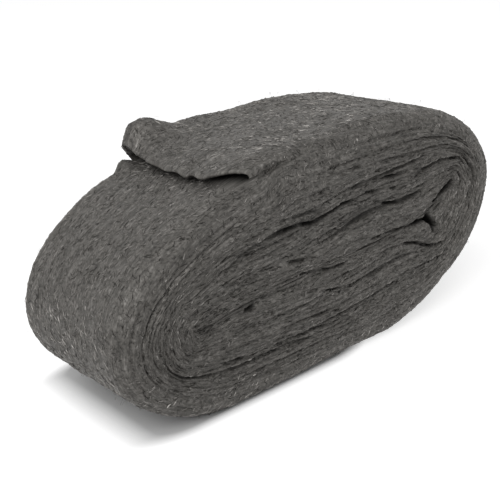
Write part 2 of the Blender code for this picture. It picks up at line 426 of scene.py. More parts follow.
class WoolSizes(bpy.types.PropertyGroup):
    """Sizes of the roll and of its fibres."""

    turns: IntProperty(
        name="Turns",
        description="Turns of the ribbon between the rim and the core",
        default=8,
        min=2,
    )
    groove: FloatProperty(
        name="Groove Depth",
        description="Depth of the common groove between two turns",
        default=0.0011,
        unit="LENGTH",
    )
    strands: FloatProperty(
        name="Strand Relief",
        description="How far the layers of fibres stand out within a turn",
        default=0.0007,
        unit="LENGTH",
    )
    lumps: FloatProperty(
        name="Lumps",
        description="How far the outer turn swells and dips",
        default=0.0006,
        unit="LENGTH",
    )
    end_thickness: FloatProperty(
        name="End Thickness",
        description="Thickness of the ribbon at its loose end",
        default=0.0042,
        unit="LENGTH",
    )
    end_gap: FloatProperty(
        name="End Gap",
        description="Height of the gap under the loose end",
        default=0.0021,
        unit="LENGTH",
    )
    tuft_rise: FloatProperty(
        name="Tuft Rise",
        description="How far the loose end's far corner curls up",
        default=0.0100,
        unit="LENGTH",
    )
    fibre_length: FloatProperty(
        name="Fibre Length",
        description="Mean length of a loose fibre that shows",
        default=0.0027,
        unit="LENGTH",
    )
    fibre_radius: FloatProperty(
        name="Fibre Radius",
        description="Mean radius of a strand of fibres",
        default=0.00013,
        unit="LENGTH",
    )
    fibres: IntProperty(
        name="Fibres In A Piece",
        description="Number of strands in each piece of loose fibres",
        default=16300,
        min=1,
    )
    strays: IntProperty(
        name="Stray Fibres",
        description="Number of fibres that stand off the roll",
        default=420,
        min=1,
    )


class WoolColours(bpy.types.PropertyGroup):
    """Colours of the steel fibres and of the floor."""

    shade: FloatVectorProperty(
        name="Shade",
        description="Fibres deep in the felt",
        subtype="COLOR",
        size=3,
        default=(0.042, 0.040, 0.037),
    )
    steel: FloatVectorProperty(
        name="Steel",
        description="The common colour of the fibres",
        subtype="COLOR",
        size=3,
        default=(0.118, 0.1118, 0.103),
    )
    glint: FloatVectorProperty(
        name="Glint",
        description="Fibres that catch the light",
        subtype="COLOR",
        size=3,
        default=(0.27, 0.257, 0.243),
    )
    floor: FloatVectorProperty(
        name="Floor",
        description="The plain floor",
        subtype="COLOR",
        size=3,
        default=(0.684, 0.684, 0.684),
    )


def smooth_step(value):
    """0 below 0, 1 above 1, and a smooth rise between."""
    value = np.clip(value, 0.0, 1.0)
    return value * value * (3 - 2 * value)


def bump(value):
    """1 at 0, falling smoothly to nothing at about 2 on either side."""
    return np.exp(-np.square(value))


def ripple(seed, around, across, cells):
    """Smooth noise from -1 to 1. around closes on itself from 0 to 1, and across runs from 0 to 1."""
    lattice = np.random.default_rng(SEED * 1000 + seed).uniform(-1, 1, (cells[0], cells[1] + 2))
    a = np.mod(around, 1.0) * cells[0]
    b = np.clip(across, 0.0, 1.0) * cells[1]
    low_a = np.floor(a).astype(int)
    low_b = np.floor(b).astype(int)
    mix_a = smooth_step(a - low_a)
    mix_b = smooth_step(b - low_b)
    low_a = low_a % cells[0]
    high_a = (low_a + 1) % cells[0]
    low = lattice[low_a, low_b] * (1 - mix_a) + lattice[high_a, low_b] * mix_a
    high = lattice[low_a, low_b + 1] * (1 - mix_a) + lattice[high_a, low_b + 1] * mix_a
    return low * (1 - mix_b) + high * mix_b


def noise_sum(layers, around, across, side=0):
    """The sum of layers of noise."""
    return sum(share * ripple(seed + side, around, across, cells) for share, seed, cells in layers)


class Outline:
    """The section's outline by the length from the loose end's edge, clockwise from the near side."""

    def __init__(self):
        left_nose = (LEFT, LEFT_NOSE_HEIGHT)
        right_nose = (RIGHT, RIGHT_NOSE_HEIGHT)
        crown = (RIGHT - CROWN_FROM_RIGHT, CROWN_HEIGHT)
        flat_start = (LEFT + FLAT_FROM_LEFT, 0.0)
        flat_end = (LEFT + FLAT_FROM_LEFT + FLAT_LENGTH, 0.0)
        over = self.quarter(left_nose, crown, TOP_LEFT_POWER)
        down = self.quarter(right_nose, crown, TOP_RIGHT_POWER)[::-1]
        under = self.quarter(right_nose, flat_end, LOW_RIGHT_POWER)
        back = self.quarter(left_nose, flat_start, LOW_LEFT_POWER)[::-1]
        self.line = np.vstack([over, down[1:], under[1:], back])
        steps = np.hypot(*np.diff(self.line, axis=0).T)
        self.length = np.concatenate([[0.0], np.cumsum(steps)])
        self.round = self.length[-1]
        self.nose = self.length[len(over) + len(down) - 2]
        self.edge = np.interp(LEFT + EDGE_FROM_LEFT, over[:, 0], self.length[: len(over)])

    @staticmethod
    def quarter(tip, turn, power):
        """A quarter of an oval, from its nose, tip, to the place where it lies level, turn."""
        angle = np.linspace(0, math.pi / 2, QUARTER_POINTS)
        x = turn[0] + (tip[0] - turn[0]) * np.cos(angle) ** (2 / power)
        z = tip[1] + (turn[1] - tip[1]) * np.sin(angle) ** (2 / power)
        return np.column_stack([x, z])

    def at(self, place):
        """Points of the outline at lengths from the edge."""
        where = np.mod(place + self.edge, self.round)
        x = np.interp(where, self.length, self.line[:, 0])
        z = np.interp(where, self.length, self.line[:, 1])
        return np.stack([x, z], axis=-1)

    def outward(self, place):
        """Outward directions there."""
        step = RIM_RADIUS / 3
        along = self.at(place + step) - self.at(place - step)
        along /= np.linalg.norm(along, axis=-1, keepdims=True)
        return np.stack([-along[..., 1], along[..., 0]], axis=-1)

    def core(self, place):
        """Points of the core's middle line beside those places."""
        where = np.mod(place + self.edge, self.round)
        over = where / self.nose
        under = (self.round - where) / (self.round - self.nose)
        share = np.where(where < self.nose, over, under)
        share = np.clip((share - NOSE_SHARE) / (1 - 2 * NOSE_SHARE), 0, 1)
        start = np.array([LEFT + CORE_FROM_LEFT, CORE_LEFT_HEIGHT])
        end = np.array([RIGHT - CORE_FROM_RIGHT, CORE_RIGHT_HEIGHT])
        start_pull = start + CORE_LEFT_PULL
        end_pull = end + CORE_RIGHT_PULL
        t = share[..., None]
        return (
            start * (1 - t) ** 3
            + start_pull * 3 * t * (1 - t) ** 2
            + end_pull * 3 * t**2 * (1 - t)
            + end * t**3
        )


def fold_columns(line):
    """The body's columns round the roll, which fold back under the loose end.

    Each column has its length from the edge when the fold stands open, as a share of the fold, a
    share of the end's round tip and a plain part, its share of the end's top and underside, and its
    length when the fold is closed.
    """
    back = np.linspace(1, 0, COLUMNS_FOLD, endpoint=False)
    turn = np.linspace(-1, 1, COLUMNS_TIP + 2)[1:-1] * math.pi / 2
    body = np.linspace(0, line.round, COLUMNS_ROUND + 1)
    under = np.linspace(0, 1, COLUMNS_FOLD + 1)[1:]
    fold = np.concatenate([back, np.zeros(COLUMNS_TIP + COLUMNS_ROUND + 1), under])
    tip = np.concatenate([np.zeros(COLUMNS_FOLD), np.cos(turn), np.zeros(len(body) + COLUMNS_FOLD)])
    last = np.full(COLUMNS_FOLD, line.round)
    plain = np.concatenate([np.zeros(COLUMNS_FOLD + COLUMNS_TIP), body, last])
    top = np.concatenate(
        [np.zeros(COLUMNS_FOLD), (1 + np.sin(turn)) / 2, np.ones(len(body)), np.zeros(COLUMNS_FOLD)]
    )
    low = np.concatenate(
        [np.ones(COLUMNS_FOLD), (1 - np.sin(turn)) / 2, np.zeros(len(body) + COLUMNS_FOLD)]
    )
    before = np.linspace(0, CLOSED_GATHER, COLUMNS_FOLD + COLUMNS_TIP, endpoint=False)
    middle = np.linspace(CLOSED_GATHER, line.round - CLOSED_GATHER, len(body))
    after = np.linspace(line.round - CLOSED_GATHER, line.round, COLUMNS_FOLD + 2)[1:-1]
    closed = np.concatenate([before, middle, after])
    return {"fold": fold, "tip": tip, "plain": plain, "top": top, "low": low, "closed": closed}


def end_edge(y):
    """How far the loose end's edge stands back along the roll at a place across the ribbon."""
    near = smooth_step((EDGE_NEAR_WIDTH - FACE - y) / EDGE_NEAR_WIDTH)
    ragged = ripple(1, np.zeros_like(y), (y + FACE) / (2 * FACE), (3, 11))
    tuft = bump((y - TUFT_PLACE) / TUFT_WIDTH)
    return EDGE_NEAR_TURN * near + EDGE_TUFT_TURN * tuft + EDGE_RAGGED * ragged


def closed_columns(line, columns, y, ease=1.0):
    """Lengths of the columns where the end lies close, so that they still gather at its edge."""
    closed = columns["closed"]
    before = smooth_step(1 - (line.round - closed) / EDGE_EASE)
    after = 1 - smooth_step(closed / EDGE_EASE)
    return closed + end_edge(y) * ease * (before + after)


def closed_end(sizes, place, y):
    """The height of the loose end over the section where it lies close to the turn below."""
    run = smooth_step((place - end_edge(y)) / END_RUN)
    return sizes.end_thickness * run * (1 - smooth_step(place / END_FADE))


def end_open(y):
    """1 where the loose end stands clear of the roll and 0 where it is closed, near the faces."""
    near_open = smooth_step((y + FACE - END_NEAR_GAP) / END_SLOPE)
    far_open = smooth_step((FACE - END_FAR_GAP - y) / END_SLOPE)
    return near_open * far_open


def loose_end(sizes, line, columns, y):
    """Lengths from the edge and heights over the section of the columns, for rows at y."""
    y = y[:, None]
    tuft = bump((y - TUFT_PLACE) / TUFT_WIDTH)
    edge = end_edge(y)
    ragged = ripple(5, np.zeros_like(y), (y + FACE) / (2 * FACE), (3, 17))
    gap = sizes.end_gap * (1 + GAP_RAGGED * ragged) + TUFT_GAP * tuft
    is_body = (columns["top"] == 1) & (columns["fold"] == 0)
    is_under = (columns["plain"] == line.round) & (columns["fold"] > 0)
    after = np.where(is_body, columns["plain"], 0.0)
    shift = edge * np.where(is_body, 1 - smooth_step(after / EDGE_EASE), 1.0)
    shift = np.where(is_under, edge * columns["fold"], shift)
    lean = TUFT_LEAN * tuft * columns["top"] ** TUFT_LEAN_POWER
    lean = lean * bump((after - TUFT_LEAN_FROM_EDGE) / TUFT_LEAN_REACH)
    bulge = END_BULGE * columns["tip"] + np.where(after < EDGE_EASE, lean, 0)
    place = columns["plain"] + FOLD_DEPTH * columns["fold"] + shift - bulge
    before_edge = is_body & (columns["plain"] > line.round - EDGE_EASE)
    place = np.where(before_edge, columns["plain"], place)
    fade = 1 - smooth_step(after / END_FADE)
    thicken = END_THIN + (1 - END_THIN) * smooth_step(after / END_THICKEN)
    thick = sizes.end_thickness * thicken
    curl = sizes.tuft_rise * tuft * bump((after - TUFT_FROM_EDGE) / TUFT_REACH)
    fluff = ripple(6, place / line.round, (y + FACE) / (2 * FACE), (90, 24))
    curl += TUFT_FLUFF * tuft * bump(after / TUFT_FLUFF_REACH) * fluff
    for from_edge, at_y, rise, along, across in CRESTS:
        curl += rise * bump((after - from_edge) / along) * bump((y - at_y) / across)
    top = (thick + gap * bump(after / GAP_REACH)) * fade + curl
    low = gap * (1 - columns["fold"]) ** FOLD_POWER + LEAST_GAP
    before = line.round - columns["plain"]
    lip = LIP_RISE * bump((y - TUFT_PLACE - LIP_ACROSS[0]) / LIP_ACROSS[1])
    lip = lip * bump((before - LIP_ALONG[0]) / LIP_ALONG[1])
    height = columns["top"] * top + columns["low"] * low + np.where(is_body, lip, 0)
    opened = end_open(y)
    closed = closed_columns(line, columns, y)
    closed_height = closed_end(sizes, np.mod(closed, line.round), y)
    return place * opened + closed * (1 - opened), height * opened + closed_height * (1 - opened)


def wall_rows():
    """y, inset and lean towards the face of the rows across the ribbon, from far rim to near rim."""
    lean = np.linspace(math.pi / 2, 0, RIM_ROWS + 1)[:-1]
    straight = FACE - RIM_RADIUS
    rim_y = straight + RIM_RADIUS * np.sin(lean)
    rim_inset = RIM_RADIUS * (1 - np.cos(lean))
    flat = np.zeros(WALL_ROWS + 1)
    y = np.concatenate([rim_y, np.linspace(straight, -straight, WALL_ROWS + 1), -rim_y[::-1]])
    inset = np.concatenate([rim_inset, flat, rim_inset[::-1]])
    return y, inset, np.concatenate([lean, flat, lean[::-1]])


def turn_relief(sizes, around, turns_in, side):
    """How deep the turns and their gaps lie at places round the roll, some turns in from outside."""
    total = RIM_TURNS + sizes.turns
    share = turns_in / total
    number = np.round(turns_in - around)
    apart = turns_in - around - number
    mean, change, most = GROOVE_SHARE
    groove_share = mean + change * ripple(21 + side, around, share, (31, 15))
    depth = sizes.groove * np.clip(groove_share, 0.0, most)
    tight = 1
    for nose, share_less in NOSES:
        tight = tight - share_less * bump((around - nose) / NOSE_WIDTH)
    depth = depth * tight
    wound = number + around
    for start, end, open_depth in OPEN_GAPS:
        span = bump(((wound - (start + end) / 2) / ((end - start) / 2)) ** 2 * OPEN_GAP_ENDS)
        depth = np.maximum(depth, open_depth * span)
    width = GAP_WIDTH[0] + GAP_WIDTH[1] * smooth_step(depth / GAP_OPEN_DEPTH)
    ragged = TURN_RAGGED * (1 + np.sin(TURN_SWAY[0] * turns_in + TURN_SWAY[1] * side))
    return depth * bump(apart / width) + TURN_CROWN * tight * (2 * np.abs(apart)) ** 3 + ragged


def wall_grid(sizes, line, columns):
    """Points of the wall, one row of columns for each place across the ribbon."""
    y, inset, lean = wall_rows()
    y, inset, lean = y[:, None], inset[:, None], lean[:, None]
    side = np.sign(y)
    place, height = loose_end(sizes, line, columns, y[:, 0])
    around = place / line.round
    across = np.broadcast_to((y + FACE) / (2 * FACE), place.shape)
    lumps = noise_sum(LUMP_NOISE, around, across)
    turns_in = np.broadcast_to(inset / RIM_RADIUS * RIM_TURNS, place.shape)
    near_relief = turn_relief(sizes, around, turns_in, -1)
    far_relief = turn_relief(sizes, around, turns_in, 1)
    sink = np.where(side < 0, near_relief, far_relief) * smooth_step(lean / RIM_FADE[0])
    sink = sink - sizes.lumps * lumps * np.cos(lean)
    past_edge = place - end_edge(y)
    under_end = bump((inset - height - END_CREASE_PLACE) / END_CREASE_WIDTH)
    under_end = under_end * smooth_step(lean / RIM_FADE[1])
    run_out = 1 - smooth_step(past_edge / END_CREASE_LENGTH)
    sink = sink + END_CREASE * under_end * (past_edge > 0) * run_out
    rise = height - inset - sink * np.cos(lean)
    on_floor = smooth_step(line.at(place)[..., 1] / FLOOR_EASE)
    rise = np.where(rise > 0, rise * on_floor, rise)
    point = line.at(place) + rise[..., None] * line.outward(place)
    depth = y - side * sink * np.sin(lean)
    return np.stack([point[..., 0], depth, point[..., 1]], axis=-1)


def swell(point):
    """How far the swells near them push points of a face up."""
    rise = np.zeros(point.shape[:-1])
    for inset, height, push, reach in SWELLS:
        away = (point[..., 0] - (LEFT + inset)) ** 2 + (point[..., 1] - height) ** 2
        rise += push * np.exp(-away / (2 * reach**2))
    return rise


def crease_depth(point, places, half_width, depth):
    """How deep a crease through those places sinks points of a face. It is shallower at its ends."""
    path = np.array(places) + (LEFT, 0.0)
    away = np.full(point.shape[:-1], 1.0)
    for start, end in zip(path, path[1:]):
        run = end - start
        share = np.clip(((point - start) @ run) / (run @ run), 0, 1)
        away = np.minimum(away, np.linalg.norm(point - start - share[..., None] * run, axis=-1))
    reach = CREASE_FADE * np.linalg.norm(path[-1] - path[0])
    to_end = np.minimum(
        np.linalg.norm(point - path[0], axis=-1), np.linalg.norm(point - path[-1], axis=-1)
    )
    shallow = CREASE_END + (1 - CREASE_END) * smooth_step(to_end / reach)
    return depth * shallow * np.clip(CREASE_FLAT * (1 - smooth_step(away / half_width)), 0, 1)


def face_grid(sizes, line, columns, side):
    """Points of a face, one row of columns for each ring from the rim to the bottom of the core."""
    inset = np.linspace(0, 1, FACE_RINGS + 1)[1:, None]
    face = np.full((1, 1), side * FACE)
    place = np.mod(closed_columns(line, columns, face, (1 - inset) ** 2), line.round)
    around = place / line.round
    outward = line.outward(place)
    outer = line.at(place) - RIM_RADIUS * outward
    middle = line.core(place)
    core = middle + CORE_HALF_WIDTH * outward
    wave = noise_sum(WAVE_NOISE, around, inset, side)
    wave = wave * np.sin(math.pi * inset) * smooth_step(inset / FACE_FADE[0])
    share = (inset + wave)[..., None]
    raised = closed_end(sizes, place, face)[..., None] * outward
    point = outer * (1 - share) + core * share + raised * (1 - share) ** 3
    point[..., 1] += swell(point) * np.sin(math.pi * inset) ** 0.5
    sink = turn_relief(sizes, around, RIM_TURNS + inset * sizes.turns, side)
    strands = noise_sum(STRAND_NOISE, around, inset, side)
    sink = sink - sizes.strands * strands * smooth_step(inset / FACE_FADE[1])
    from_calm = (point[..., 0] - LEFT - CALM[0]) ** 2 + (point[..., 1] - CALM[1]) ** 2
    sink = sink * (1 - CALM[3] * np.exp(-from_calm / CALM[2] ** 2))
    for from_left, height, reach, rise, depth in DISHES:
        across = bump((point[..., 0] - LEFT - from_left) / reach)
        sink = sink + depth * across * bump((point[..., 1] - height) / rise)
    mean, change, least, most = BROKEN_SHARE
    broken = np.clip(mean + change * ripple(51 + side, around, inset, (64, 30)), least, most)
    for half_width, depth, *places in CREASES:
        whole = smooth_step((depth - BROKEN_DEPTH) / BROKEN_DEPTH)
        share = whole + (1 - whole) * broken
        sink = np.maximum(sink, 0) + share * crease_depth(point, places, half_width, depth)
    surface = np.stack([point[..., 0], side * (FACE - sink), point[..., 1]], axis=-1)
    rings = [surface]
    steps = np.linspace(0, 1, SLIT_RINGS + 1)[1:]
    for step in steps:
        lower = surface[-1].copy()
        lower[:, 1] -= side * CORE_DEPTH * step
        flat = middle[0] + (core[0] - middle[0]) * (1 - CORE_NARROWS * step)
        lower[:, 0] += flat[:, 0] - core[0][:, 0]
        lower[:, 2] += flat[:, 1] - core[0][:, 1]
        rings.append(lower[None])
    return np.concatenate(rings)


def body_grid(sizes):
    """All the body's points, in rows from the far core over the wall to the near core."""
    line = Outline()
    columns = fold_columns(line)
    far = face_grid(sizes, line, columns, 1)[::-1]
    near = face_grid(sizes, line, columns, -1)
    grid = np.concatenate([far, wall_grid(sizes, line, columns), near])
    grid[..., 2] = np.maximum(grid[..., 2], 0.0)
    return grid


def weave_grid(grid):
    """Where each point lies in the weave: round a circle along the ribbon, and across it."""
    rows, count = grid.shape[:2]
    line = Outline()
    closed = fold_columns(line)["closed"]
    angle = closed / line.round * 2 * math.pi
    steps = np.linalg.norm(np.diff(grid, axis=0), axis=2).mean(axis=1)
    across = np.concatenate([[0.0], np.cumsum(steps)])
    across -= across[rows // 2]
    radius = line.round / (2 * math.pi)
    weave = np.empty((rows, count, 3))
    weave[..., 0] = radius * np.cos(angle)
    weave[..., 1] = radius * np.sin(angle)
    weave[..., 2] = across[:, None]
    return weave


def painted_shade_depth_grid(grid):
    """Depth of each point below the face or in the fold under the loose end, for painted shade."""
    face_rows = SLIT_RINGS + FACE_RINGS
    painted_shade_depth = FACE - np.abs(grid[..., 1])
    opened = end_open(wall_rows()[0])[:, None]
    columns = fold_columns(Outline())
    underside = columns["low"] * (columns["fold"] == 0)
    painted_shade_depth[face_rows:-face_rows] = opened * (FOLD_DEPTH * columns["fold"] + TIP_SHADE * underside)
    return painted_shade_depth


def deselect_all():
    """Leaves nothing selected, so that the next operator acts only on what it adds."""
    bpy.ops.object.select_all(action="DESELECT")


def sphere(name, columns, rings):
    """A new sphere with that many columns and rings of points between its poles."""
    deselect_all()
    bpy.ops.mesh.primitive_uv_sphere_add(segments=columns, ring_count=rings + 1, radius=1)
    piece = bpy.context.object
    piece.name = name
    piece.data.name = name
    return piece


def places_on_sphere(mesh, columns, rings):
    """The ring, from 0 at the upper pole, and the column of each point of a sphere."""
    point = np.empty(len(mesh.vertices) * 3)
    mesh.vertices.foreach_get("co", point)
    point = point.reshape(-1, 3)
    ring = np.rint(np.arccos(np.clip(point[:, 2], -1, 1)) / math.pi * (rings + 1)).astype(int)
    angle = np.arctan2(point[:, 1], point[:, 0]) / (2 * math.pi)
    column = np.rint(angle * columns).astype(int) % columns
    return ring, column


def open_poles(piece, rings):
    """Takes away a sphere's two pole points and closes the holes with flat faces."""
    deselect_all()
    piece.select_set(True)
    bpy.context.view_layer.objects.active = piece
    ring, _ = places_on_sphere(piece.data, 4, rings)
    bpy.ops.object.mode_set(mode="EDIT")
    bpy.ops.mesh.select_mode(type="VERT")
    bpy.ops.mesh.select_all(action="DESELECT")
    bpy.ops.object.mode_set(mode="OBJECT")
    pole = (ring == 0) | (ring == rings + 1)
    piece.data.vertices.foreach_set("select", pole)
    bpy.ops.object.mode_set(mode="EDIT")
    bpy.ops.mesh.delete(type="VERT")
    bpy.ops.mesh.select_all(action="SELECT")
    bpy.ops.mesh.fill_holes(sides=0)
    bpy.ops.object.mode_set(mode="OBJECT")


def finish_piece(piece, material):
    """Gives a piece its material and its place in the frame."""
    piece.data.materials.clear()
    piece.data.materials.append(material)
    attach(piece, "root")


def fill(tree, made, inputs):
    """Sets or links inputs of a node, given by name or place."""
    for place, value in inputs.items():
        if isinstance(value, bpy.types.NodeSocket):
            tree.links.new(value, made.inputs[place])
        else:
            made.inputs[place].default_value = value
    return made


def node(tree, kind, inputs, **settings):
    """Adds a node with these inputs and settings."""
    made = tree.nodes.new(kind)
    for name, value in settings.items():
        setattr(made, name, value)
    return fill(tree, made, inputs)


def new_material(name):
    """A new material, its nodes and its shader."""
    material = bpy.data.materials.new(name)
    material.use_nodes = True
    return material, material.node_tree, material.node_tree.nodes["Principled BSDF"]


def calculate(tree, operation, first, second):
    """A number worked out from two."""
    return node(tree, "ShaderNodeMath", {0: first, 1: second}, operation=operation).outputs[0]


def calculate_vector(tree, operation, first, second):
    """A vector worked out from two."""
    return node(tree, "ShaderNodeVectorMath", {0: first, 1: second}, operation=operation).outputs[0]


def attribute(tree, name, output):
    """An attribute of the piece's own mesh."""
    return node(tree, "ShaderNodeAttribute", {}, attribute_name=name).outputs[output]


def steel_ramp(tree, factor, stops, colours):
    """The colour from shade over steel to glint, with these places of the three."""
    made = node(tree, "ShaderNodeValToRGB", {"Fac": factor})
    elements = made.color_ramp.elements
    elements.new(0.5)
    for element, place, colour in zip(elements, stops, (colours.shade, colours.steel, colours.glint)):
        element.position = place
        element.color = (*colour, 1.0)
    return made.outputs["Color"]


def map_range(tree, value, source, target):
    """A value of the source range brought to the target range, and held at its ends."""
    names = ("Value", "From Min", "From Max", "To Min", "To Max")
    inputs = dict(zip(names, (value, *source, *target)))
    return node(tree, "ShaderNodeMapRange", inputs).outputs["Result"]


def streaks(tree, weave, along, across, detail):
    """Noise drawn out along the ribbon, with features of these lengths in metres."""
    stretched = calculate_vector(tree, "MULTIPLY", weave, (1 / along, 1 / along, 1 / across))
    inputs = {"Vector": stretched, "Scale": 1.0, "Detail": detail}
    inputs["Roughness"] = STREAK_ROUGHNESS
    return node(tree, "ShaderNodeTexNoise", inputs).outputs["Fac"]


def combine(tree, first, second, share):
    """A mix of two values, with this share of the second."""
    inputs = {"Factor": share, "A": first, "B": second}
    return node(tree, "ShaderNodeMix", inputs, data_type="FLOAT").outputs["Result"]


def felt_material(colours):
    """The felt of the body: streaks of fibres along the ribbon, and painted shade in its openings and
    folds.
    """
    material, tree, shader = new_material("steel_wool_felt")
    weave = attribute(tree, "weave", "Vector")
    coarse = streaks(tree, weave, *COARSE_STREAKS)
    fine = streaks(tree, weave, *FINE_STREAKS)
    grain = streaks(tree, weave, *GRAIN)
    felt = combine(tree, combine(tree, coarse, fine, FINE_SHARE), grain, GRAIN_SHARE)
    colour = steel_ramp(tree, felt, FELT_STOPS, colours)
    # Painted shade: the felt darkens with its depth in an opening or in the fold under the loose end
    painted_shade_scale = map_range(tree, attribute(tree, "painted_shade_depth", "Fac"), PAINTED_SHADE_DEPTHS, PAINTED_SHADE_LEFT)
    shaded = node(tree, "ShaderNodeVectorMath", {0: colour, "Scale": painted_shade_scale}, operation="SCALE")
    strength, distance = FELT_RELIEF
    relief = {"Strength": strength, "Distance": distance, "Height": felt}
    finish = {
        "Base Color": shaded.outputs["Vector"],
        "Metallic": FELT_METALLIC,
        "Roughness": map_range(tree, felt, (0.0, 1.0), FELT_ROUGHNESS),
        "Normal": node(tree, "ShaderNodeBump", relief).outputs["Normal"],
    }
    fill(tree, shader, finish)
    return material


def fibre_material(colours):
    """Loose steel fibres: each has its own tone, with painted shade in openings, varying a little
    along it.
    """
    material, tree, shader = new_material("steel_fibres")
    place = node(tree, "ShaderNodeTexCoord", {}).outputs["Object"]
    inputs = {"Vector": place, "Scale": FIBRE_NOISE, "Detail": 1.0}
    patch = node(tree, "ShaderNodeTexNoise", inputs).outputs["Fac"]
    tone_and_painted_shade = combine(tree, attribute(tree, "tone_and_painted_shade", "Fac"), patch, FIBRE_NOISE_SHARE)
    finish = {
        "Base Color": steel_ramp(tree, tone_and_painted_shade, FIBRE_STOPS, colours),
        "Metallic": FIBRE_METALLIC,
        "Roughness": FIBRE_ROUGHNESS,
    }
    fill(tree, shader, finish)
    return material


def sample(grid, ring, column):
    """Points of a grid between its rings and columns."""
    rows, count = grid.shape[:2]
    ring = np.clip(ring, 0, rows - 1.001)
    column = np.mod(column, count)
    low_r = np.floor(ring).astype(int)
    low_c = np.floor(column).astype(int) % count
    high_c = (low_c + 1) % count
    mix_r = (ring - low_r)[..., None]
    mix_c = (column - np.floor(column))[..., None]
    upper = grid[low_r, low_c] * (1 - mix_c) + grid[low_r, high_c] * mix_c
    lower = grid[low_r + 1, low_c] * (1 - mix_c) + grid[low_r + 1, high_c] * mix_c
    return upper * (1 - mix_r) + lower * mix_r


class Surface:
    """The body's surface, read between its points, with its outward directions and its pace."""

    def __init__(self, grid):
        self.grid = grid
        round_step = (np.roll(grid, -1, axis=1) - np.roll(grid, 1, axis=1)) / 2
        cross_step = np.gradient(grid, axis=0)
        outward = np.cross(cross_step, round_step)
        for _ in range(SMOOTH_ROUNDS):
            outward = self.unit(outward)
            outward = (
                outward * 2
                + np.roll(outward, 1, axis=1)
                + np.roll(outward, -1, axis=1)
                + np.concatenate([outward[:1], outward[:-1]])
                + np.concatenate([outward[1:], outward[-1:]])
            )
        self.outward = self.unit(outward)
        self.round_pace = np.maximum(np.linalg.norm(round_step, axis=2, keepdims=True), LEAST_PACE)
        self.cross_pace = np.maximum(np.linalg.norm(cross_step, axis=2, keepdims=True), LEAST_PACE)

    @staticmethod
    def unit(vectors):
        """Vectors of length 1 along the given ones."""
        return vectors / np.maximum(np.linalg.norm(vectors, axis=-1, keepdims=True), 1e-12)


def strand_shape():
    """One strand: for each point its step from tip to tip and its side, and its faces."""
    piece = sphere("strand", STRAND_SIDES, STRAND_STEPS)
    ring, column = places_on_sphere(piece.data, STRAND_SIDES, STRAND_STEPS)
    faces = [list(face.vertices) for face in piece.data.polygons]
    mesh = piece.data
    bpy.data.objects.remove(piece)
    bpy.data.meshes.remove(mesh)
    return ring, column, faces


def fibre_regions(surface):
    """The first and last rows of the parts of the surface that fibres are laid on."""
    rows = surface.grid.shape[0]
    face = SLIT_RINGS + FACE_RINGS - WALL_RINGS
    middle = FACE_RINGS // 2
    return {
        "wall": (face, rows - face),
        "far": (SLIT_RINGS + CORE_RINGS, face),
        "near": (rows - face, rows - SLIT_RINGS - CORE_RINGS),
        "all": (middle, rows - middle),
    }


def fibre_paths(surface, rng, count, layer, mean_length):
    """Paths of a layer's fibres, with their outward directions and their tones.

    None starts in the fold under the loose end. Fibres in an opening of a face are darker, as painted
    shade, and those that would reach deep into one are left out.
    """
    points = STRAND_STEPS + 2
    first, last = fibre_regions(surface)[layer.region]
    area = (surface.round_pace * surface.cross_pace)[first:last, :, 0]
    area[:, : COLUMNS_FOLD + COLUMNS_TIP // 2] = 0
    area[:, -COLUMNS_FOLD:] = 0
    pick = rng.choice(area.size, count, p=area.ravel() / area.sum())
    ring = first + pick // area.shape[1] + rng.uniform(0, 1, count)
    column = pick % area.shape[1] + rng.uniform(0, 1, count)
    rows, columns = surface.grid.shape[:2]
    around, across = column / columns, ring / rows
    face_rows = SLIT_RINGS + FACE_RINGS
    on_face = (ring < face_rows) | (ring > rows - face_rows)
    flow = FLOW_SHARE * layer.spread * ripple(41, around, across, FLOW_CELLS)
    heading = rng.normal(0, layer.spread, count) + flow + math.pi * rng.integers(0, 2, count)
    wild = rng.uniform(0, 1, count) < layer.wild
    heading = np.where(wild, rng.uniform(0, 2 * math.pi, count), heading)
    bend = rng.normal(0, BEND_SPREAD, count)
    pace = mean_length * rng.lognormal(0, LENGTH_SPREAD, count) / (points - 1)
    middle = np.arange(points) / (points - 1)
    lift = layer.lift * rng.uniform(*ARCH_SHARE, count)[:, None]
    arch = lift * np.sin(math.pi * middle) ** ARCH_POWER
    sway = rng.uniform(0, 2 * math.pi, count)
    place = []
    outward = []
    for k in range(points):
        place.append(sample(surface.grid, ring, column))
        outward.append(sample(surface.outward, ring, column))
        heading = heading + bend + SWAY * np.sin(sway + SWAY_STEP * k)
        ring = ring + pace * np.sin(heading) / sample(surface.cross_pace, ring, column)[:, 0]
        column = column + pace * np.cos(heading) / sample(surface.round_pace, ring, column)[:, 0]
        ring = np.clip(ring, SLIT_RINGS, rows - SLIT_RINGS - 1.01)
    place = np.stack(place, axis=1)
    outward = Surface.unit(np.stack(outward, axis=1))
    below_face = (FACE - np.abs(place[..., 1])) * on_face[:, None]
    keep = below_face.max(axis=1) < FIBRE_DEEPEST
    path = place + outward * (arch - FIBRE_SINK)[..., None]
    patch = noise_sum(PATCH_NOISE, around, across)
    tone_and_painted_shade = FIBRE_TONE + layer.contrast * rng.uniform(-1, 1, count) + patch
    # Painted shade: fibres in an opening of a face are darker
    into_painted_shade = (below_face.mean(axis=1) - FIBRE_PAINTED_SHADE_FROM) / FIBRE_PAINTED_SHADE_RUN
    tone_and_painted_shade -= FIBRE_PAINTED_SHADE * smooth_step(into_painted_shade)
    return path[keep], outward[keep], np.clip(tone_and_painted_shade, 0, 1)[keep]


